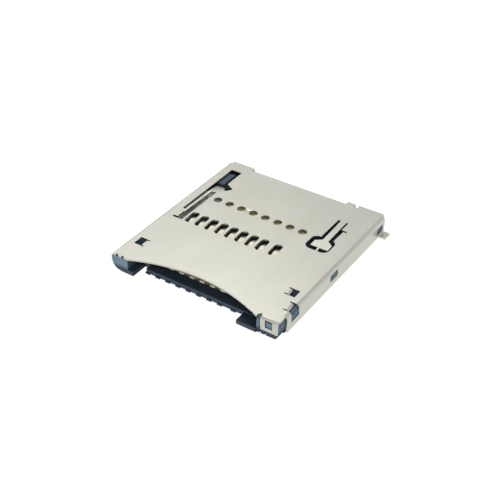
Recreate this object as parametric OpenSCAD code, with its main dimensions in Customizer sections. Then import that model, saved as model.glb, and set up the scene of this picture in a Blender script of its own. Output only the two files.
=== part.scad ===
// Push-push socket for a small memory card, for soldering flat on a circuit board.
// X runs across the card, +Y is the way the card goes in, and +Z is up from the board.
// The origin is the middle of the footprint, on the board.

/* [Card] */
// Width of the card
card_w = 11; // [10.8:0.05:11.2]
// Play on each side of the card in its slot
card_play = 0.05; // [0.03:0.01:0.1]
// Height of the slot that the card slides in
slot_h = 0.87; // [0.84:0.01:0.95]
// How far the slot lies to the left of the middle of the shell
slot_shift = 0.16; // [0.1:0.02:0.2]

/* [Shell] */
// Outer width of the shell
shell_w = 14.4; // [14.3:0.1:15]
// Depth of the shell, from the front edge to the rear flaps
shell_d = 15.4; // [15.1:0.1:16]
// Thickness of the sheet metal
sheet_t = 0.15; // [0.12:0.01:0.18]
// Outer radius of the folds
bend_r = 0.3; // [0.25:0.01:0.36]
// Depth of the thumb arch in the front edge
arch_depth = 1.22; // [0.8:0.02:1.3]
// How far the rear edge between the flaps lies in front of the flaps
rear_setback = 0.55; // [0.5:0.01:0.6]
// How far the solder feet stand out from the side walls
foot_out = 0.55; // [0.3:0.05:0.7]
// Diameter of the round holes over the rear contacts
hole_d = 0.67; // [0.4:0.01:0.9]
// Width of the slots over the front contacts
tip_slot_w = 0.64; // [0.5:0.01:0.7]
// Length of the slots over the front contacts
tip_slot_l = 1.46; // [1.1:0.02:1.8]
// How far the brake leaf is bent down at its head
brake_drop = 0.15; // [0.12:0.01:0.2]
// How far the leaf that holds the cam pin is bent down over the pin
pin_leaf_drop = 0.1; // [0.06:0.01:0.12]

/* [Housing] */
// Thickness of the moulded floor
floor_t = 0.38; // [0.34:0.01:0.45]
// How far the floor is cut back from the front edge of the shell
mouth_setback = 0.88; // [0.7:0.02:1]
// Thickness of the rear wall
rear_wall_t = 0.62; // [0.5:0.02:0.7]
// Thickness of the wall beside the slider
side_wall_t = 0.25; // [0.2:0.01:0.28]
// Gap between the housing and the shell
shell_fit = 0.02; // [0.01:0.005:0.03]

/* [Contacts] */
// Thickness of the contact strip
strip_t = 0.12; // [0.08:0.01:0.13]
// Gap around the contacts in their grooves
groove_fit = 0.01; // [0.005:0.005:0.02]
// Pitch of the front row
front_pitch = 0.905; // [0.89:0.005:0.93]
// Gap between the last two contacts of the front row
front_last_gap = 1.15; // [0.95:0.01:1.3]
// Width of the front contacts
front_w = 0.42; // [0.3:0.01:0.44]
// How far the tips of the front row lie behind the front edge of the floor
front_reach = 6.05; // [5.7:0.05:6.2]
// Pitch of the rear row
rear_pitch = 1.1; // [1.08:0.01:1.14]
// Width of the leaves of the rear contacts
rear_w = 0.64; // [0.5:0.01:0.66]
// Height of the front row's tips above the board
tip_z = 1.14; // [0.95:0.01:1.16]
// Height of the rear row's tips above the board
rear_tip_z = 1; // [0.9:0.01:1.12]
// How far the solder tails stand out behind the shell
tail_out = 0.25; // [0.1:0.05:0.5]

/* [Slider] */
// Travel of the slider from the rest position to the end of its stroke
stroke = 3.6; // [3.2:0.1:3.6]
// Diameter of the cam pin wire
pin_d = 0.16; // [0.12:0.01:0.17]
// Sideways swing of the pin tip over the full stroke
cam_swing = 0.42; // [0.36:0.01:0.44]
// Outer diameter of the coil spring
spring_d = 0.46; // [0.4:0.01:0.46]
// Wire diameter of the coil spring
spring_wire = 0.08; // [0.06:0.01:0.1]
// Gap between parts that slide on each other
slide_gap = 0.02; // [0.015:0.005:0.03]

/* [Hidden] */
$fn = 48;
eps = 0.01;
FRONT_COUNT = 9;
REAR_COUNT = 8;
FULL_TURN = 360;

// Levels above the board
top_z = floor_t + slot_h;
height = top_z + sheet_t;
sheet_z = height - sheet_t / 2;
wall_z = 0.05;

// Widths
half_w = shell_w / 2;
in_x = half_w - sheet_t;
flat_x = half_w - bend_r;
fold_in = bend_r - sheet_t;
housing_x = in_x - shell_fit;
slot_cx = -slot_shift;
slot_half = card_w / 2 + card_play;
slot_l = slot_cx - slot_half;
slot_r = slot_cx + slot_half;

// Depths
ledge_out = 0.12;
wall_y0 = 0.97;
wall_past = 0.1;
rear_edge = shell_d - rear_setback;
wall_y1 = rear_edge + wall_past;
rear_out = shell_d - sheet_t - shell_fit;
rear_in = rear_out - rear_wall_t;
tail_end = shell_d + tail_out;
mid_y = (tail_end - ledge_out) / 2;

// Free end of a contact: how far the tip curls on past its highest point, and its window in the floor
tip_curl = 0.42;
tip_curl_drop = 0.2;
tip_r = 0.28;
tip_steps = 6;
strip_lap = 0.3;
window_side = 0.06;
window_end = 0.25;

// Front row
front_first = 4.82;
front_x1 = slot_cx - front_first;
front_tip_y = mouth_setback + front_reach;
front_arm_l = 3.3;
front_root_y = front_tip_y - front_arm_l;
front_tail_shift = 0.42;
front_tail_out = 0.12;
front_riser_in = 1.05;
front_riser_y = mouth_setback + front_riser_in;
front_jog_l = 0.55;
tip_slot_front = 0.85;
function front_x(i) =
    front_x1 + i * front_pitch + (i == FRONT_COUNT - 1 ? front_last_gap - front_pitch : 0);

// Rear row, with leaves that rise towards the mouth and end under the round holes.
// The first leaf is narrower, because the slider's arm moves beside it.
rear_first = 4.55;
rear_x1 = slot_cx - rear_first;
hole_in = 4.8;
hole_y = rear_in - hole_in;
rear_shift = -0.24;
rear_first_w = 0.32;
rear_tip_past = 0.35;
rear_tip_y = hole_y + rear_tip_past;
rear_root_in = 0.85;
rear_root_y = rear_in - rear_root_in;
rear_riser_in = 0.3;
rear_riser_y = rear_in - rear_riser_in;
rear_tail_w = 0.4;
function rear_x(i) = rear_x1 + i * rear_pitch;
function rear_l(i) = i == 0 ? arm_x + arm_gap : rear_x(i) + rear_shift - rear_w / 2;
function rear_r(i) = rear_l(i) + (i == 0 ? rear_first_w : rear_w);

// Slider channel on the left
mech_in = 8.3;
mech_y = rear_in - mech_in;
mech_off = 0.39;
mech_x = slot_l - mech_off;
channel_l = -housing_x + side_wall_t;
pin_z = top_z - pin_leaf_drop - slide_gap - pin_d / 2;
deck_top = pin_z - pin_d / 2 - slide_gap;
deck_t = 0.35;
rail_z = deck_top - deck_t - slide_gap;
deck_l = channel_l + slide_gap;
deck_off = 0.07;
deck_r = slot_l - deck_off;
deck_end = 0.05;
deck_y0 = mech_y + deck_end;
deck_y1 = rear_in - stroke - deck_end;
arm_w = 1.05;
arm_taper = 0.3;
arm_gap = 0.08;
arm_past = 0.06;
arm_x = rear_x(0) + arm_past;
roof_in = 5.85;
roof_y = mech_y + roof_in;
roof_l = 1.6;
roof_off = 0.12;
roof_drop = 0.08;

// Cam pin and its heart-shaped track
cam_in = 0.75;
cam_y = deck_y1 - cam_in;
cam_depth = 0.2;
cam_w = pin_d + 3 * slide_gap;
cam_back = [0.12, 0.08];
cam_return_l = 1.5;
cam_merge_l = 0.8;
cam_notch = [0.04, 0.22];
pivot_in = 0.55;
pivot_y = mech_y - pivot_in;
pivot_depth = 0.8;
pivot_room = [0.3, 0.25];

// Coil spring
spring_off = 0.25;
spring_x = mech_x - spring_off;
groove_w = spring_d + 3 * slide_gap;
spring_z = rail_z - spring_d / 2;
keel_l = 0.5;
keel_y = deck_y0 + keel_l;
spring_turns = 15;
spring_rings = 12;
spring_sides = 6;

// Leaf over the cam pin and the slot around it, from the front corner of the slider channel
leaf_l = -0.02;
leaf_r = 0.2;
leaf_root = 1.1;
leaf_bend = 4.2;
leaf_tip = 5.45;
leaf_head = [[0.63, 4.43], [1.08, 4.87], [0.6, 5.45]];
leaf_head_drop = 0.22;
leaf_crease = 4.85;
leaf_crease_w = 0.06;
leaf_crease_l = 0.4;
leaf_slot_l = -0.24;
leaf_slot_r = 0.65;
leaf_slot_y0 = -0.2;
leaf_slot_step = 0.1;
leaf_window = [5, 7.75];
leaf_window_r = 0.72;
leaf_notch = [[0.66, 5.79], [1.51, 5.33], [1.15, 4.84], [0.7, 4.41]];

// Card brake leaf on the right, and the slot around it
brake_off = 0.5;
brake_x = slot_r - brake_off;
brake_root_in = 1.95;
brake_root = rear_in - brake_root_in;
brake_neck_in = 4.65;
brake_neck = rear_in - brake_neck_in;
brake_head_in = 5.65;
brake_head = rear_in - brake_head_in;
brake_arm_w = 0.47;
brake_head_w = 1.45;
brake_shoulder = 0.35;
brake_stop = [0.14, 0.72];
brake_cavity_off = 0.56;
brake_cavity_x = slot_r + brake_cavity_off;
brake_cavity_in = 6.6;
brake_cavity_y = rear_in - brake_cavity_in;
brake_gap_l = 0.22;
brake_gap_r = [0.16, 0.37, 0.62];
brake_step_y = [1.02, 1.05, 1.2];
brake_gap_head = [0.27, 0.2, 0.6, 0.12];
brake_round = 0.5;

// Windows for the housing's latches in the side walls
mid_window_in = 7.9;
mid_window_l = 1.05;
mid_window_z = [0.5, 1.08];
rear_window_in = 0.85;
rear_window_l = 0.9;
rear_window_z = [0.32, 0.92];
latch_windows = [
    [rear_in - mid_window_in, mid_window_l, mid_window_z],
    [rear_in - rear_window_in, rear_window_l, rear_window_z]];
latch_gap = 0.05;
corner_window = [1.5, 2.5];
corner_window_z = 0.57;
corner_window_w = 0.7;
corner_window_x = half_w - corner_window_w;

// Tongues that are bent down out of the top
tongue_r = 0.22;
tongue_drop = 0.5;
tongue_room = 0.1;
left_tongue = [1.8, 2.67];
right_tongue = [2.99, 3.77];
tongue_window_w = 0.84;
tongue_slit_w = 0.11;
tongue_run = 0.14;
corner_pocket_w = 0.42;

// Front tab on the right, nicks on the left, flaps at the rear, and the feet
tab_l_off = 0.26;
tab_l = slot_r + tab_l_off;
tab_r_off = 0.18;
tab_r = half_w - tab_r_off;
tab_z = 0.36;
tab_window_x = [tab_l + 0.4, tab_l + 0.97];
tab_window_z = [0.66, 1.26];
tab_relief = [0.15, 0.1];
nick_in = [0.45, 0.95];
nick_w = 0.2;
nick_l = 0.12;
flap_z = 0.4;
flap_left_in = 0.75;
flap_mid_in = [1.55, 0.95];
flap_right_in = 0.55;
foot_r = 0.1;
foot_l = 0.75;
foot_relief = 0.1;
foot_y1 = wall_y1 - foot_relief;
foot_y0 = foot_y1 - foot_l;

// Posts and ledges of the housing beside the mouth
tab_back = sheet_t + shell_fit;
post_past = 0.07;
post_l = mouth_setback + post_past;
left_round = 0.8;
right_round = 0.3;
left_ledge_w = 0.45;
right_ledge_w = 1.6;
ledge_step = 0.04;
mouth_notch = 0.5;
rib_gap = 0.08;
rib_drop = 0.05;
band_groove_x = [-0.05, 0.36];
band_groove_w = 0.1;

// Card switch at the rear on the right
switch_t = 0.1;
switch_z = [floor_t + 0.07, floor_t + 0.47];
switch_root_off = 0.6;
switch_root_x = brake_cavity_x + switch_root_off;
switch_tip_off = 0.75;
switch_tip_x = rear_x(REAR_COUNT - 1) + switch_tip_off;
switch_knee = [0.75, 0.3];
switch_kick = 0.1;
switch_in = 1.35;
switch_y = rear_in - switch_in;
switch_tail_w = 0.4;
terminal_in = 0.25;
terminal_y = rear_in - terminal_in;

// Basic forms

module placed() {
    translate([0, -mid_y, 0]) children();
}

module block(lo, hi) {
    translate(lo) cube(hi - lo);
}

module along_x(x0, x1) {
    translate([x0, 0, 0]) rotate([90, 0, 90]) linear_extrude(height = x1 - x0) children();
}

module along_y(y0, y1) {
    translate([0, y1, 0]) rotate([90, 0, 0]) linear_extrude(height = y1 - y0) children();
}

module upright(z0, z1) {
    translate([0, 0, z0]) linear_extrude(height = z1 - z0) children();
}

module box2d(lo, hi) {
    translate(lo) square(hi - lo);
}

// A straight slot with round ends, from p to q
module slot2d(p, q, w) {
    d = q - p;
    translate(p) circle(d = w);
    translate(q) circle(d = w);
    translate(p) rotate(atan2(d[1], d[0])) translate([0, -w / 2]) square([norm(d), w]);
}

// The outline of a strip of thickness t along the line p
function unit(v) = v / norm(v);
function left_of(v) = [-v[1], v[0]];
function edge_point(p, i, d) =
    let (before = unit(i == 0 ? p[1] - p[0] : p[i] - p[i - 1]),
         after = i == len(p) - 1 ? before : unit(p[i + 1] - p[i]),
         m = unit(left_of(before) + left_of(after)))
    p[i] + m * d / (m * left_of(before));
function ribbon(p, t) = concat(
    [for (i = [0:len(p) - 1]) edge_point(p, i, t / 2)],
    [for (i = [len(p) - 1:-1:0]) edge_point(p, i, -t / 2)]);

// A sheet that runs flat and folds down at x = 0, with its top at y = 0
module fold2d(run, drop, r) {
    box2d([-r - run, -sheet_t], [-r, 0]);
    intersection() {
        translate([-r, -r]) difference() {
            circle(r = r);
            circle(r = r - sheet_t);
        }
        box2d([-r, -r], [0, 0]);
    }
    box2d([-sheet_t, -drop], [0, -r]);
}

// Shell

module channel2d(half, top, r) {
    box2d([-half, 0], [half, top - r]);
    box2d([-half + r, 0], [half - r, top]);
    for (side = [-1, 1]) translate([side * (half - r), top - r]) circle(r = r);
}

module shell_body() {
    along_y(wall_y0, wall_y1) difference() {
        channel2d(half_w, height, bend_r);
        channel2d(in_x, top_z, fold_in);
        box2d([-half_w, -eps], [half_w, wall_z]);
    }
    block([-in_x, 0, top_z], [slot_r, wall_y0, height]);
    block([slot_r - eps, bend_r, top_z], [in_x, wall_y0, height]);
}

module arch2d() {
    radius = (slot_half * slot_half / arch_depth + arch_depth) / 2;
    translate([slot_cx, arch_depth - radius]) circle(r = radius, $fn = 180);
}

module brake_slot2d() {
    left = brake_x - brake_arm_w / 2 - brake_gap_l;
    right = brake_x + brake_arm_w / 2;
    round = brake_round;
    x0 = brake_x - brake_head_w / 2 - brake_gap_head[0];
    x1 = brake_x + brake_head_w / 2 + brake_gap_head[1];
    y0 = brake_head - brake_gap_head[2];
    y1 = brake_neck + brake_gap_head[3];
    box2d([left, y1 - eps], [right + brake_gap_r[0], brake_root]);
    box2d([left, y1 - eps], [right + brake_gap_r[1], brake_root - brake_step_y[1]]);
    box2d([right, brake_root - brake_step_y[2]], [right + brake_gap_r[2], brake_root - brake_step_y[0]]);
    box2d([x0 + round, y0], [x1 - round, y1]);
    box2d([x0, y0 + round], [x1, y1 - round]);
    for (x = [x0 + round, x1 - round], y = [y0 + round, y1 - round]) translate([x, y]) circle(r = round);
}

module brake_leaf() {
    half = brake_head_w / 2;
    stop_end = brake_head - brake_stop[1];
    stop_drop = brake_drop * (brake_root - stop_end) / (brake_root - brake_head);
    line = [[brake_root + strip_lap, sheet_z], [brake_root, sheet_z], [stop_end, sheet_z - stop_drop]];
    intersection() {
        along_x(brake_x - brake_head_w, brake_x + brake_head_w) polygon(ribbon(line, sheet_t));
        upright(0, height + eps) translate([brake_x, 0]) {
            box2d([-brake_arm_w / 2, brake_neck - eps], [brake_arm_w / 2, brake_root + strip_lap]);
            box2d([-brake_stop[0] / 2, stop_end], [brake_stop[0] / 2, brake_head + eps]);
            polygon([
                [-half, brake_head],
                [half, brake_head],
                [half, brake_neck - brake_shoulder],
                [brake_arm_w / 2, brake_neck],
                [-brake_arm_w / 2, brake_neck],
                [-half, brake_neck - brake_shoulder]]);
        }
    }
}

module pin_slot2d() {
    translate([mech_x, mech_y]) {
        box2d([leaf_slot_l, leaf_root], [leaf_l, leaf_window[0] + eps]);
        box2d([leaf_slot_step, leaf_slot_y0], [leaf_slot_r, leaf_root]);
        box2d([leaf_l, leaf_root], [leaf_slot_r, leaf_window[0] + eps]);
        box2d([leaf_slot_l, leaf_slot_y0], [leaf_r, leaf_slot_y0 + 2 * leaf_slot_step]);
        box2d([leaf_slot_l, leaf_window[0]], [leaf_window_r, leaf_window[1]]);
        polygon(concat(leaf_notch, [[leaf_l, leaf_notch[3][1]], [leaf_l, leaf_notch[0][1]]]));
    }
}

module pin_leaf() {
    root = mech_y + leaf_root;
    bend = mech_y + leaf_bend;
    crease = mech_y + leaf_crease;
    line = [
        [root - strip_lap, sheet_z],
        [root, sheet_z],
        [bend, sheet_z - pin_leaf_drop / 2],
        [crease, sheet_z - pin_leaf_drop],
        [mech_y + leaf_tip + eps, sheet_z - leaf_head_drop]];
    intersection() {
        along_x(mech_x + leaf_l, mech_x + leaf_head[1][0]) polygon(ribbon(line, sheet_t));
        upright(0, height + eps) translate([mech_x, mech_y]) difference() {
            union() {
                box2d([leaf_l, leaf_root - strip_lap], [leaf_r, leaf_bend]);
                polygon(concat(
                    [[leaf_l, leaf_bend - eps], [leaf_r, leaf_bend - eps]],
                    leaf_head,
                    [[leaf_l, leaf_tip]]));
            }
            box2d([leaf_l - eps, leaf_crease], [leaf_l + leaf_crease_l, leaf_crease + leaf_crease_w]);
        }
    }
}

module top_cuts2d() {
    arch2d();
    for (i = [0:REAR_COUNT - 1]) translate([rear_x(i), hole_y]) circle(d = hole_d);
    for (i = [0:FRONT_COUNT - 1]) {
        y0 = front_tip_y - tip_slot_front + tip_slot_w / 2;
        slot2d([front_x(i), y0], [front_x(i), y0 + tip_slot_l - tip_slot_w], tip_slot_w);
    }
    pin_slot2d();
    brake_slot2d();
    box2d([slot_l - tongue_window_w, left_tongue[0]], [slot_l, left_tongue[1]]);
    box2d([tab_l, right_tongue[0]], [tab_l + tongue_window_w, right_tongue[1]]);
    box2d([corner_window_x, corner_window[0]], [half_w + eps, corner_window[1]]);
    box2d([-flat_x, rear_edge], [flat_x, shell_d]);
    // Relief beside the front tab and two nicks at the left corner
    box2d([tab_l - tab_relief[0], -eps], [tab_l, bend_r + tab_relief[1]]);
    for (x = nick_in) box2d([x - half_w, -eps], [x - half_w + nick_w, nick_l]);
}

module side_cuts() {
    for (side = [-1, 1], w = latch_windows) translate([side * half_w, w[0], 0])
        block([-2 * sheet_t, 0, w[2][0]], [2 * sheet_t, w[1], w[2][1]]);
    block([corner_window_x, corner_window[0], corner_window_z],
        [half_w + eps, corner_window[1], height + eps]);
    for (side = [-1, 1]) translate([side * half_w, 0, 0])
        block([-2 * sheet_t, foot_y0 - foot_relief, -eps], [2 * sheet_t, wall_y1 + eps, foot_r + sheet_t]);
}

// A tongue that is cut free on three sides and bent down, with its root on the left
module top_tongue(root_x, span) {
    translate([root_x + tongue_run + tongue_r, 0, height])
        along_y(span[0] + tongue_slit_w, span[1] - tongue_slit_w)
            fold2d(tongue_run + eps, tongue_drop, tongue_r);
}

module rear_flap(x0, x1) {
    along_x(x0, x1) translate([shell_d, height])
        fold2d(rear_setback - bend_r + eps, height - flap_z, bend_r);
}

module front_tab() {
    difference() {
        along_x(tab_l, tab_r) translate([0, height]) mirror([1, 0]) fold2d(eps, height - tab_z, bend_r);
        block([tab_window_x[0], -eps, tab_window_z[0]], [tab_window_x[1], 2 * sheet_t, tab_window_z[1]]);
    }
}

module solder_foot() {
    along_y(foot_y0, foot_y1) {
        intersection() {
            translate([half_w + foot_r, foot_r + sheet_t]) difference() {
                circle(r = foot_r + sheet_t);
                circle(r = foot_r);
            }
            box2d([in_x, 0], [half_w + foot_r, foot_r + sheet_t]);
        }
        box2d([half_w + foot_r, 0], [half_w + foot_out, sheet_t]);
    }
}

module shell() {
    color([0.82, 0.81, 0.75]) placed() {
        difference() {
            shell_body();
            upright(top_z - eps, height + eps) top_cuts2d();
            side_cuts();
        }
        brake_leaf();
        pin_leaf();
        top_tongue(tab_l, right_tongue);
        top_tongue(corner_window_x, corner_window);
        mirror([1, 0, 0]) top_tongue(-slot_l, left_tongue);
        rear_flap(-flat_x, slot_l + flap_left_in);
        rear_flap(slot_r - flap_mid_in[0], slot_r - flap_mid_in[1]);
        rear_flap(slot_r - flap_right_in, flat_x);
        front_tab();
        solder_foot();
        mirror([1, 0, 0]) solder_foot();
    }
}

// Housing

// Side view of a block whose top edge is rounded at its far end
module round_top2d(y0, y1) {
    box2d([y0, 0], [y1, top_z - fold_in]);
    box2d([y0, 0], [y1 - fold_in, top_z]);
    translate([y1 - fold_in, top_z - fold_in]) circle(r = fold_in);
}

// Room inside the shell, with its top edges rounded to lie under the folds
module shell_room() {
    intersection() {
        along_y(-ledge_out, rear_out) channel2d(housing_x, top_z, fold_in);
        along_x(-housing_x, housing_x) round_top2d(-ledge_out, rear_out);
    }
}

// Front end of a post, with its lower outer corner rounded
module post_front2d(side, inner, round) {
    outer = side * housing_x;
    corner = outer - side * round;
    box2d([min(corner, inner), 0], [max(corner, inner), top_z]);
    intersection() {
        box2d([min(outer, corner), 0], [max(outer, corner), top_z]);
        union() {
            box2d([min(outer, corner), round], [max(outer, corner), top_z]);
            translate([corner, round]) circle(r = round);
        }
    }
}

module latch(side, w) {
    low = w[2][0] + latch_gap;
    mirror([side < 0 ? 1 : 0, 0, 0]) along_y(w[0] + latch_gap, w[0] + w[1] - latch_gap) polygon([
        [housing_x - eps, low],
        [half_w - shell_fit, low],
        [half_w - shell_fit, low + 2 * latch_gap],
        [housing_x - eps, w[2][1] - latch_gap]]);
}

module left_side() {
    along_y(0, post_l) post_front2d(-1, slot_l, left_round);
    block([-housing_x, post_l, 0], [slot_l, mech_y, top_z]);
    block([slot_l - eps, 0, 0], [slot_l + left_ledge_w, post_l, floor_t]);
    // Slider channel, with a bridge over its rear end
    block([-housing_x, mech_y, 0], [slot_l, rear_in, rail_z]);
    block([-housing_x, mech_y, 0], [channel_l, rear_in, top_z]);
    block([-housing_x, roof_y, deck_top + slide_gap],
        [slot_l - roof_off, roof_y + roof_l, top_z - roof_drop]);
}

module right_side() {
    intersection() {
        along_y(tab_back, post_l) post_front2d(1, slot_r, right_round);
        along_x(slot_r, housing_x) mirror([1, 0]) round_top2d(-post_l, -tab_back);
    }
    along_y(0, tab_back + eps) intersection() {
        post_front2d(1, slot_r, right_round);
        box2d([slot_r, 0], [housing_x, tab_z - shell_fit]);
    }
    block([slot_r, 0, 0], [tab_l - rib_gap, tab_back + fold_in, top_z - rib_drop]);
    block([slot_r - right_ledge_w, -ledge_out, 0], [slot_r + eps, post_l, floor_t - ledge_step]);
    block([slot_r, post_l, 0], [housing_x, brake_cavity_y, top_z]);
    block([brake_cavity_x, brake_cavity_y, 0], [housing_x, rear_in, top_z]);
}

module housing_body() {
    intersection() {
        shell_room();
        union() {
            block([-housing_x, post_l, 0], [housing_x, rear_out, floor_t]);
            block([slot_l - eps, mouth_setback, 0], [housing_x, post_l + eps, floor_t]);
            left_side();
            right_side();
            block([-housing_x, rear_in, 0], [housing_x, rear_out, top_z]);
        }
    }
    // Latches and nubs that show in the shell's windows
    for (side = [-1, 1], w = latch_windows) latch(side, w);
    block([tab_window_x[0] + latch_gap, latch_gap, tab_window_z[0] + latch_gap],
        [tab_window_x[1] - latch_gap, tab_back + eps, tab_window_z[1] - 3 * latch_gap]);
    block([housing_x - eps, corner_window[0] + latch_gap, corner_window_z + latch_gap],
        [half_w - latch_gap, corner_window[1] - latch_gap, top_z - fold_in - latch_gap]);
}

module housing_cuts() {
    // Deep front corner of the floor, beside the left ledge
    block([slot_l + left_ledge_w, -eps, -eps],
        [front_x1 + front_w / 2 + 2 * groove_fit, mouth_setback + mouth_notch, floor_t + eps]);
    // Grooves in the band under the front tab
    for (x = band_groove_x)
        block([tab_l + x, -eps, -eps], [tab_l + x + band_groove_w, band_groove_w, tab_z]);
    // Room for the tongues that are bent down
    pocket_z = height - tongue_drop - tongue_room;
    block([slot_l - tongue_window_w, left_tongue[0], pocket_z],
        [slot_l - tongue_run, left_tongue[1], top_z + eps]);
    block([tab_l + tongue_run, right_tongue[0], pocket_z],
        [tab_l + tongue_window_w, right_tongue[1], top_z + eps]);
    block([corner_window_x, corner_window[0], pocket_z],
        [corner_window_x + corner_pocket_w, corner_window[1], top_z + eps]);
    // Spring groove, and the seat of the cam pin
    block([spring_x - groove_w / 2, mech_y, spring_z - spring_d / 2 - slide_gap],
        [spring_x + groove_w / 2, rear_in, rail_z + eps]);
    block([mech_x - pivot_room[0], pivot_y - pivot_room[1], deck_top],
        [mech_x + pivot_room[1], mech_y + eps, top_z + eps]);
    translate([mech_x, pivot_y, pin_z - pivot_depth])
        cylinder(d = pin_d + 3 * slide_gap, h = pivot_depth);
    for (i = [0:FRONT_COUNT - 1]) translate([front_x(i), 0, 0]) front_groove();
    for (i = [0:REAR_COUNT - 1]) rear_groove(i);
    switch_grooves();
}

module front_groove() {
    g = groove_fit;
    half = front_w / 2 + g;
    bed = floor_t - strip_t - g;
    tail_l = front_tail_shift - half;
    window = half + window_side;
    block([tail_l, -eps, -eps], [tail_l + 2 * half, front_riser_y + strip_t / 2 + g, strip_t + g]);
    block([tail_l, front_riser_y - strip_t / 2 - g, 0],
        [tail_l + 2 * half, front_riser_y + strip_t, floor_t + eps]);
    block([-half, front_riser_y - strip_t / 2 - g, bed],
        [tail_l + 2 * half, front_riser_y + front_jog_l + g, floor_t + eps]);
    block([-half, front_riser_y, bed], [half, front_root_y, floor_t + eps]);
    block([-window, front_root_y, -eps],
        [window, front_tip_y + tip_curl + window_end, floor_t + eps]);
}

module rear_groove(i) {
    g = groove_fit;
    tail_l = rear_x(i) - rear_tail_w / 2 - g;
    tail_r = rear_x(i) + rear_tail_w / 2 + g;
    riser = [rear_riser_y - strip_t / 2 - g, rear_riser_y + strip_t / 2 + g];
    block([min(rear_l(i) - g, tail_l), rear_root_y, floor_t - strip_t - g],
        [max(rear_r(i) + g, tail_r), riser[1], floor_t + eps]);
    block([tail_l, riser[0], -eps], [tail_r, rear_out + eps, strip_t + g]);
    block([tail_l, riser[0], 0], [tail_r, riser[1], floor_t]);
    block([rear_l(i) - window_side, rear_tip_y - tip_curl - window_end, -eps],
        [rear_r(i) + window_side, rear_root_y + eps, floor_t + eps]);
}

module switch_grooves() {
    g = groove_fit;
    t = switch_t / 2 + g;
    spring_x0 = switch_root_x - switch_tail_w - g;
    terminal_x0 = switch_tip_x - g;
    terminal_x1 = switch_tip_x + switch_tail_w + g;
    block([brake_cavity_x - eps, switch_y - t, -eps], [switch_root_x + g, switch_y + t, switch_z[1] + g]);
    block([spring_x0, switch_y - t, -eps], [switch_root_x + g, rear_out + eps, switch_t + g]);
    block([terminal_x0, terminal_y - t, -eps], [terminal_x1, terminal_y + t, floor_t + eps]);
    block([terminal_x0, terminal_y - t, -eps], [terminal_x1, rear_out + eps, switch_t + g]);
}

module housing() {
    color([0.17, 0.2, 0.24]) placed() difference() {
        housing_body();
        housing_cuts();
    }
}

// Contacts

// Line of a spring tongue that rises to its contact point and curls down past it
function tongue_line(root, tip, z0, top) =
    let (dir = sign(tip - root),
         zc = top - strip_t / 2,
         rise = atan2(zc - z0, abs(tip - root)),
         fall = atan2(tip_curl_drop, tip_curl),
         centre = zc - tip_r)
    concat(
        [[root, z0]],
        [for (k = [0:tip_steps])
            let (a = -rise + (rise + fall) * k / tip_steps)
            [tip + dir * tip_r * sin(a), centre + tip_r * cos(a)]],
        [[tip + dir * (tip_curl + tip_r * sin(fall)), zc - tip_curl_drop]]);

module front_contact(i) {
    flat_z = floor_t - strip_t / 2;
    half = front_w / 2;
    tail = [
        [mouth_setback - front_tail_out, strip_t / 2],
        [front_riser_y, strip_t / 2],
        [front_riser_y, flat_z],
        [front_riser_y + front_jog_l, flat_z]];
    arm = concat(
        [[front_riser_y + strip_lap, flat_z]],
        tongue_line(front_root_y, front_tip_y, flat_z, tip_z));
    color([0.85, 0.72, 0.35]) placed() translate([front_x(i), 0, 0]) {
        along_x(front_tail_shift - half, front_tail_shift + half) polygon(ribbon(tail, strip_t));
        upright(floor_t - strip_t, floor_t)
            box2d([-half, front_riser_y + strip_t / 2], [front_tail_shift, front_riser_y + front_jog_l]);
        along_x(-half, half) polygon(ribbon(arm, strip_t));
    }
}

module rear_contact(i) {
    flat_z = floor_t - strip_t / 2;
    tail_l = rear_x(i) - rear_tail_w / 2;
    tail_r = rear_x(i) + rear_tail_w / 2;
    tail = [
        [rear_riser_y - strip_lap, flat_z],
        [rear_riser_y, flat_z],
        [rear_riser_y, strip_t / 2],
        [tail_end, strip_t / 2]];
    leaf = concat(
        [[rear_root_y + strip_lap, flat_z]],
        tongue_line(rear_root_y, rear_tip_y, flat_z, rear_tip_z));
    color([0.85, 0.72, 0.35]) placed() {
        block([min(rear_l(i), tail_l), rear_root_y + groove_fit, floor_t - strip_t],
            [max(rear_r(i), tail_r), rear_riser_y - strip_t / 2, floor_t]);
        along_x(tail_l, tail_r) polygon(ribbon(tail, strip_t));
        along_x(rear_l(i), rear_r(i)) polygon(ribbon(leaf, strip_t));
    }
}

module switch_spring() {
    tail_x0 = switch_root_x - switch_tail_w;
    line = [
        [switch_root_x, switch_y],
        [brake_cavity_x, switch_y],
        [switch_tip_x + switch_knee[0], switch_y - switch_knee[1]],
        [switch_tip_x, switch_y + switch_kick]];
    color([0.85, 0.72, 0.35]) placed() {
        upright(switch_z[0], switch_z[1]) polygon(ribbon(line, switch_t));
        block([tail_x0, switch_y - switch_t / 2, 0], [switch_root_x, switch_y + switch_t / 2, switch_z[1]]);
        block([tail_x0, switch_y - switch_t / 2, 0], [switch_root_x, tail_end, switch_t]);
    }
}

module switch_terminal() {
    x1 = switch_tip_x + switch_tail_w;
    color([0.85, 0.72, 0.35]) placed() {
        block([switch_tip_x, terminal_y - switch_t / 2, 0], [x1, terminal_y + switch_t / 2, switch_z[1]]);
        block([switch_tip_x, terminal_y - switch_t / 2, 0], [x1, tail_end, switch_t]);
    }
}

// Push-push mechanism

// Heart-shaped track in the top of the slider: push leg, lock notch and return leg
module cam_track2d() {
    start = [mech_x, cam_y];
    end = [mech_x - cam_swing, cam_y - stroke];
    back = [mech_x + cam_back[0], end[1] + cam_back[1]];
    turn = [back[0], end[1] + cam_return_l];
    slot2d(start, end, cam_w);
    slot2d(end, back, cam_w);
    slot2d(back, turn, cam_w);
    slot2d(turn, start - [0, cam_merge_l], cam_w);
    translate([(end[0] + back[0]) / 2 + cam_notch[0], end[1] + cam_notch[1]]) circle(d = cam_w);
}

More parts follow.
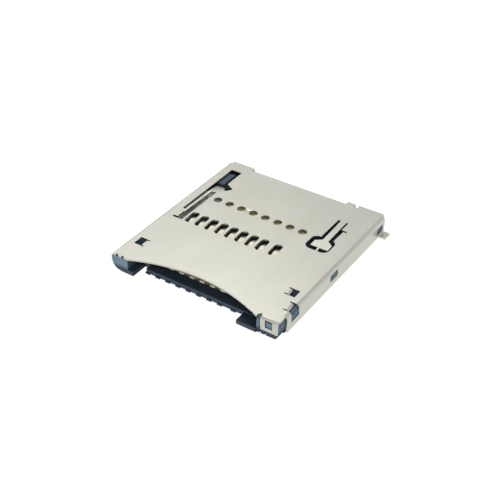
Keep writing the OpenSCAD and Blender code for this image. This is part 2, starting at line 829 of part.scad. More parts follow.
module slider() {
    arm_front = deck_y1 - arm_w;
    color([0.2, 0.23, 0.27]) placed() difference() {
        union() {
            block([deck_l, deck_y0, deck_top - deck_t], [deck_r, deck_y1, deck_top]);
            upright(deck_top - deck_t, deck_top) polygon([
                [deck_r - eps, deck_y1], [arm_x, deck_y1], [arm_x, arm_front],
                [deck_r, arm_front - arm_taper], [deck_r - eps, arm_front - arm_taper]]);
            block([spring_x - spring_d / 2, deck_y0, spring_z - spring_d / 2],
                [spring_x + spring_d / 2, keel_y, deck_top - deck_t + eps]);
        }
        upright(deck_top - cam_depth, deck_top + eps) cam_track2d();
    }
}

module cam_pin() {
    r = pin_d / 2;
    leg_end = deck_top - cam_depth + slide_gap;
    color([0.75, 0.76, 0.78]) placed() {
        translate([mech_x, pivot_y, pin_z - pivot_depth + slide_gap])
            cylinder(r = r, h = pivot_depth - slide_gap);
        translate([mech_x, pivot_y, pin_z]) sphere(r = r);
        translate([mech_x, pivot_y, pin_z]) rotate([-90, 0, 0]) cylinder(r = r, h = cam_y - pivot_y);
        translate([mech_x, cam_y, pin_z]) sphere(r = r);
        translate([mech_x, cam_y, leg_end]) cylinder(r = r, h = pin_z - leg_end);
    }
}

// Wire of the coil spring: rings of points along a helix between the keel and the rear wall
function coil_radius() = (spring_d - spring_wire) / 2;
function coil_point(s, a) =
    let (turn = FULL_TURN * spring_turns * s,
         r = coil_radius() + spring_wire / 2 * cos(a),
         y0 = keel_y + spring_wire / 2 + eps / 2,
         y1 = rear_in - spring_wire / 2 - eps / 2)
    [spring_x + r * cos(turn), y0 + (y1 - y0) * s + spring_wire / 2 * sin(a), spring_z + r * sin(turn)];

module coil_spring() {
    rings = spring_turns * spring_rings;
    n = spring_sides;
    points = [for (i = [0:rings], k = [0:n - 1]) coil_point(i / rings, FULL_TURN * k / n)];
    sides = [for (i = [0:rings - 1], k = [0:n - 1])
        [i * n + k, i * n + (k + 1) % n, (i + 1) * n + (k + 1) % n, (i + 1) * n + k]];
    caps = [[for (k = [n - 1:-1:0]) k], [for (k = [0:n - 1]) rings * n + k]];
    color([0.75, 0.76, 0.78]) placed() polyhedron(points, concat(sides, caps));
}

shell();
housing();
slider();
coil_spring();
cam_pin();
for (i = [1:FRONT_COUNT]) front_contact(i - 1);
for (i = [1:REAR_COUNT]) rear_contact(i - 1);
switch_spring();
switch_terminal();
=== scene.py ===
"""Studio scene of a push-push memory card socket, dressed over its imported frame."""

import logging
import math
from collections.abc import Callable
from dataclasses import dataclass
from enum import Enum

import bmesh
import bpy
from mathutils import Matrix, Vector


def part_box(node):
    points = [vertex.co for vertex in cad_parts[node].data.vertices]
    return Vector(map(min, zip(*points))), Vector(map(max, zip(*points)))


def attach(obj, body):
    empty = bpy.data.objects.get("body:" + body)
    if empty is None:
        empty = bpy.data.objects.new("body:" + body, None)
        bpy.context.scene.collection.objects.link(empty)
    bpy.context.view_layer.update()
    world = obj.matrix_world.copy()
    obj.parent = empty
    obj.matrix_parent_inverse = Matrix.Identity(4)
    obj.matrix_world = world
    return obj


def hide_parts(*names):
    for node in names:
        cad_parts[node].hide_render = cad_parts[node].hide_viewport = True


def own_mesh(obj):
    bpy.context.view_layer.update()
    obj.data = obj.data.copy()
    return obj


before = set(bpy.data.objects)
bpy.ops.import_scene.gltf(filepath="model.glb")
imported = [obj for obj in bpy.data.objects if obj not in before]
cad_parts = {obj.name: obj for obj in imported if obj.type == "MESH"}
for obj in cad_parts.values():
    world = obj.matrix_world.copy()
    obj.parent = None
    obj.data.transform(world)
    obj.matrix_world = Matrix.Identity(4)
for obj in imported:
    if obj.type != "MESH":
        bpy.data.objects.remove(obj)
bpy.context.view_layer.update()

MM = 0.001
WELD_MM = 0.012
FLAT_DEG = 0.5
SHARP_DEG = 35.0
NEEDLE_DEG = 25.0
FLAT_WEIGHT = 100
LOG = logging.getLogger("card_socket")

Colour = tuple[float, float, float]
Span = tuple[float, float]
Point = tuple[float, float, float]
Piece = bpy.types.Object
Material = bpy.types.Material
Tree = bpy.types.NodeTree
Socket = bpy.types.NodeSocket

FULL: Span = (0.0, 1.0)
NOISE_SPAN: Span = (0.3, 0.7)
WHITE: Colour = (1.0, 1.0, 1.0)


class Slot(Enum):
    """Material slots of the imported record."""

    SHELL = "shell_metal"
    BASE = "base_plastic"
    SLIDER = "slider_plastic"
    WIRE = "spring_wire"
    GOLD = "contact_gold"


class Body(Enum):
    """Bodies of the frame that the pieces ride on."""

    BASE = "base"
    SLIDER = "slider"
    CAM_PIN = "cam_pin"


class Choice(Enum):
    """What is chosen in edit mode."""

    POINTS = "VERT"
    FACES = "FACE"


class Bench:
    """Selection, edit mode and modifiers, worked with operators."""

    @staticmethod
    def pick(piece: Piece) -> None:
        """Selects one piece alone and makes it active.

        Args:
            piece: The object to work on.
        """
        bpy.ops.object.select_all(action="DESELECT")
        piece.select_set(True)
        bpy.context.view_layer.objects.active = piece

    @staticmethod
    def open(piece: Piece) -> None:
        """Opens a piece in edit mode with all of it selected.

        Args:
            piece: The object to work on.
        """
        Bench.pick(piece)
        bpy.ops.object.mode_set(mode="EDIT")
        bpy.ops.mesh.select_all(action="SELECT")

    @staticmethod
    def close() -> None:
        """Goes back to object mode."""
        bpy.ops.object.mode_set(mode="OBJECT")

    @staticmethod
    def copy_node(node: str, name: str) -> Piece:
        """Copies a CAD node into a welded piece of its own.

        Args:
            node: The CAD node's name.
            name: The new piece's name.

        Returns:
            The copy, with flat faces joined.
        """
        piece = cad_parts[node].copy()
        piece.data = piece.data.copy()
        piece.name = piece.data.name = name
        piece.parent = None
        for key in list(piece.keys()):
            del piece[key]
        bpy.context.scene.collection.objects.link(piece)
        piece.data.materials.clear()
        Bench.open(piece)
        bpy.ops.mesh.customdata_custom_splitnormals_clear()
        bpy.ops.mesh.remove_doubles(threshold=WELD_MM * MM)
        bpy.ops.mesh.dissolve_limited(angle_limit=math.radians(FLAT_DEG))
        Bench.close()
        return piece

    @staticmethod
    def cut_across(piece: Piece, place_mm: Point, normal: Point) -> None:
        """Cuts a line of edges right round a piece.

        Args:
            piece: The object to work on.
            place_mm: A point of the cut.
            normal: The way that the cut faces.
        """
        Bench.open(piece)
        bpy.ops.mesh.bisect(plane_co=Vector(place_mm) * MM, plane_no=normal)
        Bench.close()

    @staticmethod
    def start_choice(piece: Piece, choice: Choice) -> None:
        """Leaves a piece with nothing selected, ready for a choice.

        Args:
            piece: The object to work on.
            choice: What will be chosen.
        """
        Bench.open(piece)
        bpy.ops.mesh.select_mode(type=choice.value)
        bpy.ops.mesh.select_all(action="DESELECT")
        Bench.close()

    @staticmethod
    def choose_faces(piece: Piece, wanted: Callable[[Vector, Vector], bool]) -> None:
        """Opens a piece in edit mode with some of its faces selected.

        Args:
            piece: The object to work on.
            wanted: Says yes or no to a face's middle in millimetres and its normal.
        """
        Bench.start_choice(piece, Choice.FACES)
        for face in piece.data.polygons:
            face.select = wanted(face.center / MM, face.normal)
        bpy.ops.object.mode_set(mode="EDIT")

    @staticmethod
    def choose_points(piece: Piece, wanted: Callable[[Vector], bool]) -> None:
        """Opens a piece in edit mode with some of its points selected.

        Args:
            piece: The object to work on.
            wanted: Says yes or no to a point's place in millimetres.
        """
        Bench.start_choice(piece, Choice.POINTS)
        for point in piece.data.vertices:
            point.select = wanted(point.co / MM)
        bpy.ops.object.mode_set(mode="EDIT")

    @staticmethod
    def push_out(piece: Piece, wanted: Callable[[Vector, Vector], bool], move_mm: Point) -> None:
        """Extrudes some of a piece's faces.

        Args:
            piece: The object to work on.
            wanted: Says yes or no to a face's middle in millimetres and its normal.
            move_mm: The move.
        """
        Bench.choose_faces(piece, wanted)
        bpy.ops.mesh.extrude_region_move(TRANSFORM_OT_translate={"value": Vector(move_mm) * MM})
        Bench.close()

    @staticmethod
    def shift_points(piece: Piece, wanted: Callable[[Vector], bool], move_mm: Point) -> None:
        """Moves some of a piece's points.

        Args:
            piece: The object to work on.
            wanted: Says yes or no to a point's place in millimetres.
            move_mm: The move.
        """
        Bench.choose_points(piece, wanted)
        bpy.ops.transform.translate(value=Vector(move_mm) * MM)
        Bench.close()

    @staticmethod
    def mark_sharp(piece: Piece) -> None:
        """Marks the sharp edges that a rounding can follow, away from needle-shaped corners.

        Args:
            piece: The object to work on.
        """
        work = bmesh.new()
        work.from_mesh(piece.data)
        mark = work.edges.layers.float.new("bevel_weight_edge")
        needle = math.radians(NEEDLE_DEG)
        corners = (corner for face in work.faces for corner in face.loops)
        needles = {corner.vert for corner in corners if corner.calc_angle() < needle}
        for edge in work.edges:
            sharp = edge.is_manifold and edge.calc_face_angle() > math.radians(SHARP_DEG)
            edge[mark] = float(sharp and not needles.intersection(edge.verts))
        work.to_mesh(piece.data)
        work.free()

    @staticmethod
    def smooth() -> None:
        """Shades the active piece smooth, apart from its sharp edges."""
        bpy.ops.object.shade_smooth_by_angle(angle=math.radians(SHARP_DEG))

    @staticmethod
    def round_edges(piece: Piece, width_mm: float, segments: int) -> None:
        """Rounds the sharp edges of a piece and keeps its flat faces flat.

        Args:
            piece: The object to work on.
            width_mm: Width of the rounding.
            segments: Faces across the rounding.
        """
        Bench.pick(piece)
        Bench.mark_sharp(piece)
        bevel = piece.modifiers.new("edge", "BEVEL")
        bevel.width = width_mm * MM
        bevel.segments = segments
        bevel.limit_method = "WEIGHT"
        bevel.use_clamp_overlap = False
        bpy.ops.object.modifier_apply(modifier=bevel.name)
        Bench.smooth()
        flat = piece.modifiers.new("flat_faces", "WEIGHTED_NORMAL")
        flat.keep_sharp = True
        flat.weight = FLAT_WEIGHT
        bpy.ops.object.modifier_apply(modifier=flat.name)

    @staticmethod
    def seat(piece: Piece, body: Body, slot: Slot, finish: Material, *nodes: str) -> None:
        """Gives a finished piece its finish and its body, and hides the CAD nodes that it replaces.

        Args:
            piece: The finished piece.
            body: The body that it rides on.
            slot: The record's material slot; not used.
            finish: The material.
            *nodes: The CAD nodes that it replaces.
        """
        piece.data.materials.append(finish)
        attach(piece, body.value)
        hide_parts(*nodes)
        LOG.info("%s: %d faces", piece.name, len(piece.data.polygons))


def rgba(colour: Colour) -> tuple[float, float, float, float]:
    """Makes a colour opaque.

    Args:
        colour: Red, green and blue.

    Returns:
        The colour with full alpha.
    """
    return (*colour, 1.0)


def grey(level: float) -> tuple[float, float, float, float]:
    """Makes an opaque grey.

    Args:
        level: How light it is.

    Returns:
        The grey with full alpha.
    """
    return rgba((level, level, level))


def map_range(tree: Tree, value: Socket, source: Span, target: Span) -> Socket:
    """Maps a value from one range to another, held at its ends.

    Args:
        tree: The node tree.
        value: The value to map.
        source: The range that it comes from.
        target: The range that it goes to.

    Returns:
        The mapped value.
    """
    ramp = tree.nodes.new("ShaderNodeMapRange")
    ramp.inputs["From Min"].default_value, ramp.inputs["From Max"].default_value = source
    ramp.inputs["To Min"].default_value, ramp.inputs["To Max"].default_value = target
    tree.links.new(value, ramp.inputs["Value"])
    return ramp.outputs["Result"]


def height_of(tree: Tree, coords: Socket) -> Socket:
    """Takes the Z value out of coordinates.

    Args:
        tree: The node tree.
        coords: The coordinates.

    Returns:
        Their Z value.
    """
    parts = tree.nodes.new("ShaderNodeSeparateXYZ")
    tree.links.new(coords, parts.inputs["Vector"])
    return parts.outputs["Z"]


@dataclass(frozen=True)
class Pattern:
    """A noise pattern: its size along X, Y and Z and its levels of finer detail."""

    size_mm: Point
    detail: float


class Shader:
    """One procedural material on Object coordinates."""

    def __init__(self, name: str) -> None:
        """Starts the material.

        Args:
            name: The material's name.
        """
        self.material = bpy.data.materials.new(name)
        self.material.use_nodes = True
        self.tree = self.material.node_tree
        self.nodes = self.tree.nodes
        self.links = self.tree.links
        self.surface = self.nodes["Principled BSDF"]
        self.coords = self.nodes.new("ShaderNodeTexCoord").outputs["Object"]

    def fix(self, socket: str, value: float) -> None:
        """Sets a constant socket of the surface.

        Args:
            socket: The socket's name.
            value: Its value.
        """
        self.surface.inputs[socket].default_value = value

    def noise(self, pattern: Pattern) -> Socket:
        """Adds a noise pattern.

        Args:
            pattern: Its size and detail.

        Returns:
            The noise value.
        """
        mapping = self.nodes.new("ShaderNodeMapping")
        mapping.inputs["Scale"].default_value = [1.0 / (size * MM) for size in pattern.size_mm]
        self.links.new(self.coords, mapping.inputs["Vector"])
        noise = self.nodes.new("ShaderNodeTexNoise")
        noise.inputs["Scale"].default_value = 1.0
        noise.inputs["Detail"].default_value = pattern.detail
        self.links.new(mapping.outputs["Vector"], noise.inputs["Vector"])
        return noise.outputs["Fac"]

    def mix_base(self, factor: Socket) -> bpy.types.Node:
        """Puts a mix of two colours before the base colour.

        Args:
            factor: How much of the second colour shows.

        Returns:
            The mix, whose two colours are still to be set.
        """
        mix = self.nodes.new("ShaderNodeMix")
        mix.data_type = "RGBA"
        self.links.new(factor, mix.inputs["Factor"])
        self.links.new(mix.outputs["Result"], self.surface.inputs["Base Color"])
        return mix

    def tint(self, value: Socket, low: Colour, high: Colour) -> None:
        """Varies the base colour between two tones.

        Args:
            value: The noise value.
            low: Tone at the noise's low end.
            high: Tone at the noise's high end.
        """
        mix = self.mix_base(map_range(self.tree, value, NOISE_SPAN, FULL))
        mix.inputs["A"].default_value = rgba(low)
        mix.inputs["B"].default_value = rgba(high)

    def dip(self, level_mm: float, blend_mm: float, colour: Colour) -> None:
        """Gives all that lies below a level another colour: painted shade towards the bottom.

        Args:
            level_mm: Height of the level.
            blend_mm: Height over which the colours meet.
            colour: The colour below the level.
        """
        above = self.surface.inputs["Base Color"].links[0].from_socket
        meeting = (level_mm * MM, (level_mm + blend_mm) * MM)
        mix = self.mix_base(map_range(self.tree, height_of(self.tree, self.coords), meeting, FULL))
        mix.inputs["A"].default_value = rgba(colour)
        self.links.new(above, mix.inputs["B"])

    def polish(self, value: Socket, span: Span) -> None:
        """Varies the roughness.

        Args:
            value: The noise value.
            span: Roughness at the noise's two ends.
        """
        roughness = map_range(self.tree, value, NOISE_SPAN, span)
        self.links.new(roughness, self.surface.inputs["Roughness"])

    def relief(self, value: Socket, height_mm: float) -> None:
        """Adds fine relief.

        Args:
            value: The noise value.
            height_mm: Height of the relief.
        """
        bump = self.nodes.new("ShaderNodeBump")
        bump.inputs["Strength"].default_value = 1.0
        bump.inputs["Distance"].default_value = height_mm * MM
        self.links.new(value, bump.inputs["Height"])
        self.links.new(bump.outputs["Normal"], self.surface.inputs["Normal"])


@dataclass(frozen=True)
class SatinSheet:
    """Satin plating on stamped sheet, with rolling lines and a faint mottle."""

    light: Colour = (0.580, 0.574, 0.510)
    dark: Colour = (0.545, 0.540, 0.475)
    roughness: Span = (0.33, 0.38)
    mottle: Pattern = Pattern(size_mm=(1.8, 2.6, 1.8), detail=4.0)
    rolling: Pattern = Pattern(size_mm=(0.06, 1.2, 0.06), detail=3.0)
    rolling_height_mm: float = 0.0006

    def build(self) -> Material:
        """Makes the material.

        Returns:
            The material.
        """
        shader = Shader("satin_sheet")
        shader.fix("Metallic", 1.0)
        shader.tint(shader.noise(self.mottle), self.dark, self.light)
        rolling = shader.noise(self.rolling)
        shader.polish(rolling, self.roughness)
        shader.relief(rolling, self.rolling_height_mm)
        return shader.material


@dataclass(frozen=True)
class MouldedPlastic:
    """Moulded plastic with a fine spark-eroded grain, and painted shade that darkens it towards the bottom.
    """

    name: str
    light: Colour
    dark: Colour
    # Painted shade: the colour given below the level that follows, darker towards the bottom.
    painted_shade: Colour
    painted_shade_up_to_mm: float = 0.36
    blend_mm: float = 0.22
    gloss: float = 0.12
    roughness: Span = (0.42, 0.58)
    cloud: Pattern = Pattern(size_mm=(0.9, 0.9, 0.9), detail=3.0)
    grain: Pattern = Pattern(size_mm=(0.05, 0.05, 0.05), detail=2.0)
    grain_height_mm: float = 0.003

    def build(self) -> Material:
        """Makes the material.

        Returns:
            The material.
        """
        shader = Shader(self.name)
        shader.fix("Specular IOR Level", self.gloss)
        shader.tint(shader.noise(self.cloud), self.dark, self.light)
        # Painted shade towards the bottom of the moulding.
        shader.dip(self.painted_shade_up_to_mm, self.blend_mm, self.painted_shade)
        grain = shader.noise(self.grain)
        shader.polish(grain, self.roughness)
        shader.relief(grain, self.grain_height_mm)
        return shader.material


@dataclass(frozen=True)
class GoldFlash:
    """Thin gold over nickel on the spring contacts, with tinned tails darkened by painted shade."""

    name: str = "gold_flash"
    light: Colour = (0.93, 0.87, 0.58)
    dark: Colour = (0.84, 0.78, 0.50)
    # Tin on the tails, darkened to painted shade.
    tin_and_painted_shade: Colour = (0.10, 0.11, 0.13)
    tin_and_shade_up_to_mm: float = 0.125
    blend_mm: float = 0.03
    roughness: Span = (0.58, 0.68)
    cloud: Pattern = Pattern(size_mm=(0.5, 0.5, 0.5), detail=3.0)
    strip: Pattern = Pattern(size_mm=(0.03, 0.4, 0.03), detail=2.0)
    strip_height_mm: float = 0.0006

    def build(self) -> Material:
        """Makes the material.

        Returns:
            The material.
        """
        shader = Shader(self.name)
        shader.fix("Metallic", 1.0)
        shader.tint(shader.noise(self.cloud), self.dark, self.light)
        # Tinned tails, darkened as painted shade.
        shader.dip(self.tin_and_shade_up_to_mm, self.blend_mm, self.tin_and_painted_shade)
        strip = shader.noise(self.strip)
        shader.polish(strip, self.roughness)
        shader.relief(strip, self.strip_height_mm)
        return shader.material


@dataclass(frozen=True)
class DrawnWire:
    """Bright drawn steel wire."""

    light: Colour = (0.66, 0.66, 0.65)
    dark: Colour = (0.52, 0.52, 0.52)
    roughness: Span = (0.2, 0.32)
    draw: Pattern = Pattern(size_mm=(0.04, 0.04, 0.04), detail=2.0)

    def build(self) -> Material:
        """Makes the material.

        Returns:
            The material.
        """
        shader = Shader("drawn_wire")
        shader.fix("Metallic", 1.0)
        draw = shader.noise(self.draw)
        shader.tint(draw, self.dark, self.light)
        shader.polish(draw, self.roughness)
        return shader.material


@dataclass
class StampedShell:
    """The folded sheet-metal cover."""

    edge_mm: float = 0.01
    edge_segments: int = 2

    def build(self, finish: Material) -> None:
        """Makes the cover with its sheared edges eased.

        Args:
            finish: The sheet's finish.
        """
        piece = Bench.copy_node("shell", "shell_cover")
        Bench.round_edges(piece, self.edge_mm, self.edge_segments)
        Bench.seat(piece, Body.BASE, Slot.SHELL, finish, "shell")


@dataclass
class MouldedBase:
    """The moulded housing under the cover."""

    edge_mm: float = 0.02
    edge_segments: int = 2
    post_l_mm: float = 0.93
    post_depth_mm: float = 0.6
    post_out_mm: float = 0.15
    facing_left: float = -0.05
    slope_l_mm: float = 0.52
    slope_drop_mm: float = 0.4

    def widen_post(self, piece: Piece) -> None:
        """Brings the left post out beside the cover's front edge.

        Args:
            piece: The housing.
        """
        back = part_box("shell")[0].y / MM + self.post_l_mm
        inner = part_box("housing")[0].x / MM + self.post_depth_mm
        Bench.cut_across(piece, (0.0, back, 0.0), (0.0, 1.0, 0.0))
        Bench.push_out(
            piece, lambda at, out: at.y < back and at.x < inner and out.x < self.facing_left,
            (-self.post_out_mm, 0.0, 0.0))

    def slope_rear(self, piece: Piece) -> None:
        """Slopes the rear wall's top down behind the cover's rear edge.

        Args:
            piece: The housing.
        """
        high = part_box("housing")[1]
        crest = (0.0, high.y - self.slope_l_mm * MM, high.z)
        slope = (0.0, self.slope_drop_mm, self.slope_l_mm)
        Bench.open(piece)
        bpy.ops.mesh.bisect(plane_co=crest, plane_no=slope, use_fill=True, clear_outer=True)
        Bench.close()

    def build(self, finish: Material) -> None:
        """Makes the moulding with its edges rounded.

        Args:
            finish: The plastic's finish.
        """
        piece = Bench.copy_node("housing", "housing_moulding")
        self.widen_post(piece)
        self.slope_rear(piece)
        Bench.round_edges(piece, self.edge_mm, self.edge_segments)
        Bench.seat(piece, Body.BASE, Slot.BASE, finish, "housing")


@dataclass
class ContactSet:
    """The two rows of spring contacts and the card switch."""

    edge_mm: float = 0.012
    coined_mm: float = 0.022
    edge_segments: int = 3
    front_count: int = 9
    rear_count: int = 8
    arm_w_mm: float = 0.42
    heel_in_mm: float = 1.11
    heel_l_mm: float = 0.28
    heel_z_mm: float = 0.38
    heel_rise_mm: float = 0.09
    heel_slope_mm: float = 0.1
    heel_reach_mm: float = 0.22
    facing_up: float = 0.9
    jog_drop_mm: float = 0.02
    leaf_root_mm: float = 6.0
    leaf_lift_deg: float = 1.6

    def raise_heel(self, piece: Piece, node: str) -> None:
        """Raises the heel of a front contact, with a slope towards the mouth, and lowers its jog.

        Args:
            piece: The contact.
            node: Its CAD node.
        """
        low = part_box(node)[0] / MM
        side, front = low.x + self.arm_w_mm, low.y + self.heel_in_mm
        back, middle = front + self.heel_l_mm, front + self.heel_l_mm / 2
        sole = self.heel_z_mm - 2 * WELD_MM
        Bench.cut_across(piece, (side, 0.0, 0.0), (1.0, 0.0, 0.0))
        Bench.cut_across(piece, (0.0, back, 0.0), (0.0, 1.0, 0.0))
        Bench.cut_across(piece, (0.0, 0.0, sole), (0.0, 0.0, 1.0))
        Bench.push_out(
            piece, lambda at, out: at.x < side and front < at.y < back and out.z > self.facing_up,
            (0.0, 0.0, self.heel_rise_mm))
        Bench.shift_points(
            piece, lambda at: at.x < side + WELD_MM and at.y < middle and at.z > sole + WELD_MM,
            (0.0, -self.heel_reach_mm, 0.0))
        Bench.shift_points(
            piece, lambda at: at.x < side + WELD_MM and at.y < middle and at.z > self.heel_z_mm + WELD_MM,
            (0.0, self.heel_slope_mm, 0.0))
        Bench.shift_points(
            piece, lambda at: at.x > side + WELD_MM and at.z > sole + WELD_MM, (0.0, 0.0, -self.jog_drop_mm))

    def lift_leaf(self, piece: Piece, node: str) -> None:
        """Springs the leaf of a rear contact up towards its hole in the cover.

        Args:
            piece: The contact.
            node: Its CAD node.
        """
        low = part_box(node)[0]
        root = Vector((low.x, self.leaf_root_mm * MM, self.heel_z_mm * MM))
        lift = math.radians(self.leaf_lift_deg)
        Bench.choose_points(piece, lambda at: at.y < self.leaf_root_mm)
        bpy.ops.transform.rotate(value=lift, orient_axis="X", center_override=root)
        Bench.close()

    def nodes(self) -> list[str]:
        """Lists the contacts.

        Returns:
            The names of all the contact nodes.
        """
        front = [f"front_contact_{i + 1}" for i in range(self.front_count)]
        rear = [f"rear_contact_{i + 1}" for i in range(self.rear_count)]
        return front + rear + ["switch_spring", "switch_terminal"]

    def build(self, front_finish: Material, rear_finish: Material) -> None:
        """Makes every contact with its blanked edges eased.

        Args:
            front_finish: The front row's gold, made paler as a painted highlight.
            rear_finish: The plating of the rear row and the card switch.
        """
        for node in self.nodes():
            piece = Bench.copy_node(node, f"{node}_strip")
            edge_mm, finish = self.edge_mm, rear_finish
            if node.startswith("front"):
                self.raise_heel(piece, node)
                # The front row's paler gold is a painted highlight.
                edge_mm, finish = self.coined_mm, front_finish
            elif node.startswith("rear"):
                self.lift_leaf(piece, node)
            Bench.round_edges(piece, edge_mm, self.edge_segments)
            Bench.seat(piece, Body.BASE, Slot.GOLD, finish, node)


@dataclass
class PushMechanism:
    """The slider with its cam pin and its return spring."""

    slider_edge_mm: float = 0.02
    slider_edge_segments: int = 2
    wire_mm: float = 0.08
    wire_sides: int = 12
    turns: int = 15
    steps: int = 28
    squeezed: float = 0.535

    def build_slider(self, finish: Material) -> None:
        """Makes the moulded slider.

        Args:
            finish: The plastic's finish.
        """
        piece = Bench.copy_node("slider", "slider_moulding")
        Bench.round_edges(piece, self.slider_edge_mm, self.slider_edge_segments)
        Bench.seat(piece, Body.SLIDER, Slot.SLIDER, finish, "slider")

    def build_pin(self, finish: Material) -> None:
        """Makes the bent wire of the cam pin.

        Args:
            finish: The wire's finish.
        """
        piece = Bench.copy_node("cam_pin", "cam_pin_wire")
        Bench.pick(piece)
        Bench.smooth()
        Bench.seat(piece, Body.CAM_PIN, Slot.WIRE, finish, "cam_pin")

    def build_spring(self, finish: Material) -> None:
        """Winds the return spring from a ring of wire.

        Args:
            finish: The wire's finish.
        """
        low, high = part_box("coil_spring")
        middle = (low + high) / 2
        wire = self.wire_mm * MM
        run = high.y - low.y - wire
        bpy.ops.object.select_all(action="DESELECT")
        bpy.ops.mesh.primitive_circle_add(
            vertices=self.wire_sides, radius=wire / 2, location=(middle.x, low.y + wire / 2, middle.z))
        piece = bpy.context.object
        piece.name = piece.data.name = "return_spring"
        Bench.open(piece)
        bpy.ops.transform.translate(value=((high.x - low.x - wire) / 2, 0.0, 0.0))
        Bench.close()
        coil = piece.modifiers.new("coil", "SCREW")
        coil.axis = "Y"
        coil.screw_offset = run / self.turns
        coil.iterations = self.turns
        coil.steps = coil.render_steps = self.steps
        bpy.ops.object.modifier_apply(modifier=coil.name)
        bpy.ops.object.transform_apply(location=True, rotation=True, scale=True)
        Bench.open(piece)
        bpy.ops.mesh.fill_holes(sides=0)
        bpy.ops.mesh.normals_make_consistent(inside=False)
        Bench.close()
        Bench.smooth()
        Bench.seat(piece, Body.BASE, Slot.WIRE, finish, "coil_spring")
        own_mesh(piece)


@dataclass
class Lamp:
    """One soft box."""

    name: str
    place_mm: Point
    size_mm: float
    power_w: float
    glossy: bool = False

    def build(self, aim: Vector) -> None:
        """Hangs the lamp.

        Args:
            aim: The point that it faces.
        """
        data = bpy.data.lights.new(self.name, "AREA")
        data.shape = "SQUARE"
        data.size = self.size_mm * MM
        data.energy = self.power_w
        lamp = bpy.data.objects.new(self.name, data)
        lamp.visible_glossy = self.glossy
        lamp.location = Vector(self.place_mm) * MM
        lamp.rotation_euler = (aim - lamp.location).to_track_quat("-Z", "Y").to_euler()
        bpy.context.scene.collection.objects.link(lamp)


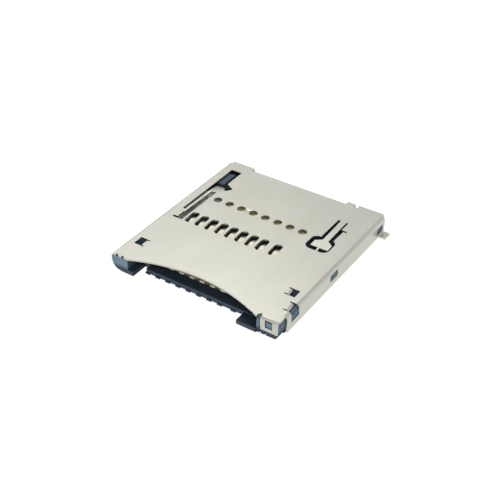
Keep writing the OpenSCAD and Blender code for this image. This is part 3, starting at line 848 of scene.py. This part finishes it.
@dataclass
class Studio:
    """Floor, world, lamps and camera."""

    camera_mm: Point = (31.676, -47.60, 42.457)
    aim_mm: Point = (0.0, -0.292, 0.88)
    lens_mm: float = 68.29
    sensor_mm: float = 36.0
    shift: Span = (-0.0033, -0.0205)
    near_mm: float = 1.0
    far_mm: float = 10000.0
    floor_mm: float = 4000.0
    floor_gap_mm: float = 0.01
    floor_glow: float = 0.955
    floor_grey: float = 0.12
    floor_bounce: float = 0.8
    ambient: float = 0.08
    zenith: float = 0.79
    zenith_from: float = 0.45

    def lamps(self) -> list[Lamp]:
        """Lists the lamps.

        Returns:
            The soft boxes.
        """
        return [
            Lamp("key_light", place_mm=(-78.0, 78.0, 235.0), size_mm=160.0, power_w=0.3),
            Lamp("sheen_light", place_mm=(-108.0, 97.0, 206.0), size_mm=120.0, power_w=0.085, glossy=True),
            Lamp("front_light", place_mm=(-15.0, -243.0, 6.5), size_mm=12.0, power_w=0.6),
            Lamp("side_light", place_mm=(240.0, 30.0, 8.0), size_mm=12.0, power_w=0.28),
            Lamp("fill_light", place_mm=(95.0, -142.0, 172.0), size_mm=60.0, power_w=0.15),
        ]

    @staticmethod
    def end_tree(tree: Tree, lighting: Socket, seen: Socket, output: str) -> None:
        """Ends a node tree with one shader for the lighting and one for what is seen.

        Args:
            tree: The node tree.
            lighting: The shader for diffuse rays.
            seen: The shader for camera, glossy and transmission rays.
            output: The kind of output node.
        """
        path = tree.nodes.new("ShaderNodeLightPath")
        total = path.outputs["Is Camera Ray"]
        for name in ("Is Glossy Ray", "Is Transmission Ray"):
            add = tree.nodes.new("ShaderNodeMath")
            add.operation = "ADD"
            add.use_clamp = True
            tree.links.new(total, add.inputs[0])
            tree.links.new(path.outputs[name], add.inputs[1])
            total = add.outputs[0]
        mix = tree.nodes.new("ShaderNodeMixShader")
        tree.links.new(total, mix.inputs["Fac"])
        tree.links.new(lighting, mix.inputs[1])
        tree.links.new(seen, mix.inputs[2])
        tree.links.new(mix.outputs[0], tree.nodes.new(output).inputs["Surface"])

    def build_world(self) -> None:
        """Makes the white surroundings, a little greyer overhead."""
        world = bpy.data.worlds.new("studio_world")
        world.use_nodes = True
        tree = world.node_tree
        tree.nodes.clear()
        dim = tree.nodes.new("ShaderNodeBackground")
        dim.inputs["Color"].default_value = rgba(WHITE)
        dim.inputs["Strength"].default_value = self.ambient
        white = tree.nodes.new("ShaderNodeBackground")
        white.inputs["Color"].default_value = rgba(WHITE)
        up = height_of(tree, tree.nodes.new("ShaderNodeTexCoord").outputs["Generated"])
        strength = map_range(tree, up, (0.0, self.zenith_from), (1.0, self.zenith))
        tree.links.new(strength, white.inputs["Strength"])
        self.end_tree(tree, dim.outputs[0], white.outputs[0], "ShaderNodeOutputWorld")
        bpy.context.scene.world = world

    def build_floor(self) -> None:
        """Lays the white floor just under the part."""
        bpy.ops.object.select_all(action="DESELECT")
        bpy.ops.mesh.primitive_plane_add(size=self.floor_mm * MM, location=(0, 0, -self.floor_gap_mm * MM))
        floor = bpy.context.object
        floor.name = "floor"
        material = bpy.data.materials.new("studio_floor")
        material.use_nodes = True
        tree = material.node_tree
        tree.nodes.clear()
        plain = tree.nodes.new("ShaderNodeBsdfDiffuse")
        plain.inputs["Color"].default_value = grey(self.floor_bounce)
        shaded = tree.nodes.new("ShaderNodeBsdfDiffuse")
        shaded.inputs["Color"].default_value = grey(self.floor_grey)
        glow = tree.nodes.new("ShaderNodeEmission")
        glow.inputs["Strength"].default_value = self.floor_glow
        white = tree.nodes.new("ShaderNodeAddShader")
        tree.links.new(shaded.outputs[0], white.inputs[0])
        tree.links.new(glow.outputs[0], white.inputs[1])
        self.end_tree(tree, plain.outputs[0], white.outputs[0], "ShaderNodeOutputMaterial")
        floor.data.materials.append(material)

    def build_camera(self) -> None:
        """Sets up the camera at the photograph's view."""
        data = bpy.data.cameras.new("camera")
        data.lens = self.lens_mm
        data.sensor_width = self.sensor_mm
        data.shift_x, data.shift_y = self.shift
        data.clip_start = self.near_mm * MM
        data.clip_end = self.far_mm * MM
        camera = bpy.data.objects.new("camera", data)
        camera.location = Vector(self.camera_mm) * MM
        aim = Vector(self.aim_mm) * MM - camera.location
        camera.rotation_euler = aim.to_track_quat("-Z", "Y").to_euler()
        bpy.context.scene.collection.objects.link(camera)
        bpy.context.scene.camera = camera

    def build(self) -> None:
        """Makes the whole studio."""
        self.build_world()
        self.build_floor()
        for lamp in self.lamps():
            lamp.build(Vector(self.aim_mm) * MM)
        self.build_camera()
        bpy.context.scene.view_settings.view_transform = "Standard"


def main() -> None:
    """Builds the studio and dresses every piece of the socket."""
    logging.basicConfig(level=logging.INFO, format="%(name)s: %(message)s")
    Studio().build()
    # Each moulding's third colour is painted shade towards its bottom.
    plastic = MouldedPlastic(
        "base_moulding", light=(0.100, 0.146, 0.192), dark=(0.083, 0.123, 0.164),
        painted_shade=(0.027, 0.040, 0.056))
    slider = MouldedPlastic(
        "slider_moulding", light=(0.62, 0.63, 0.65), dark=(0.55, 0.56, 0.58),
        painted_shade=(0.36, 0.37, 0.39), gloss=0.5)
    # A paler copy of the gold: a painted highlight on the front row's tips.
    painted_highlight_gold = GoldFlash("painted_highlight_flash", light=(0.96, 0.93, 0.76), dark=(0.89, 0.86, 0.68))
    wire = DrawnWire().build()
    StampedShell().build(SatinSheet().build())
    MouldedBase().build(plastic.build())
    ContactSet().build(painted_highlight_gold.build(), GoldFlash().build())
    mechanism = PushMechanism()
    mechanism.build_slider(slider.build())
    mechanism.build_pin(wire)
    mechanism.build_spring(wire)


if __name__ == "__main__":
    main()
